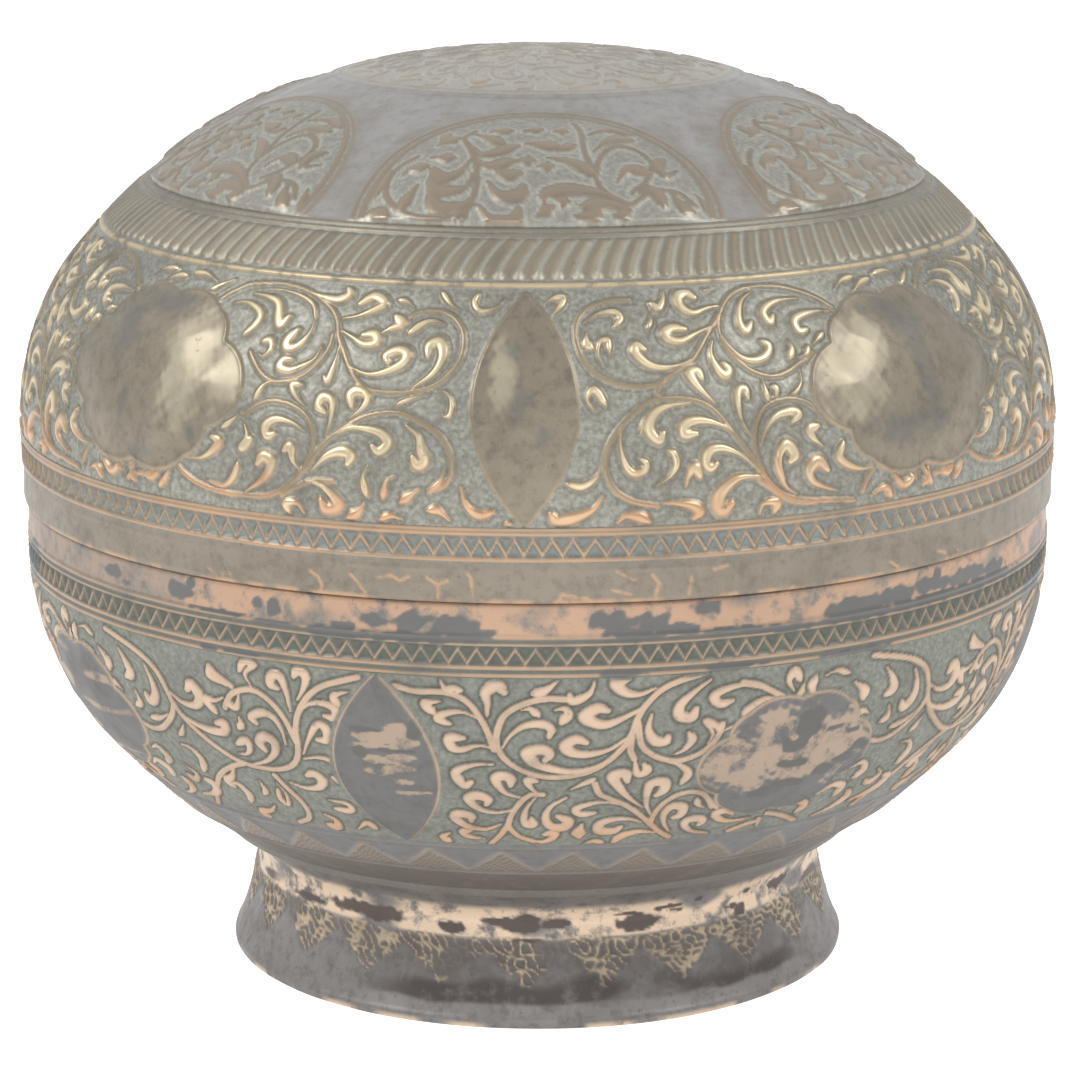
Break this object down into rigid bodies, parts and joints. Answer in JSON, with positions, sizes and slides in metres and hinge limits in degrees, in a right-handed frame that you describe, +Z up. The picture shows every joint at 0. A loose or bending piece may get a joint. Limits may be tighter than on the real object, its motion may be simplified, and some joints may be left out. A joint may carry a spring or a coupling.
{
  "type": "offering box",
  "caption": "Footed round box raised from tinned copper sheet: deep bowl with an inner collar, domed lift-off lid, plain ovals, lobed panels and a rope band at the shoulder",
  "frame": {"origin": "centre of the foot's lower edge, on the surface that the box stands on", "axes": "+Z up along the axis of the box, -Y towards the front of the picture, +X to its right"},
  "size_m": [0.2016, 0.2016, 0.1768],
  "materials": {
    "lid_copper": "copper, tinned and worn, grey-brown",
    "bowl_copper": "copper, tinned, worn through to the copper in places",
    "collar_copper": "copper strip, tinned, dull",
    "foot_copper": "copper, tinned and worn",
    "solder": "soft solder, dull grey"
  },
  "bodies": {
    "base": {"bowl_shell": "bowl_copper", "bowl_collar": "collar_copper", "foot_ring": "foot_copper", "foot_solder_seam": "solder", "collar_solder_seam": "solder"},
    "lid": {"lid_shell": "lid_copper"}
  },
  "joints": [
    {"name": "lid_lift", "type": "slide", "parent": "base", "child": "lid", "axis": [0, 0, 1], "range_m": [0, 0.12]}
  ]
}
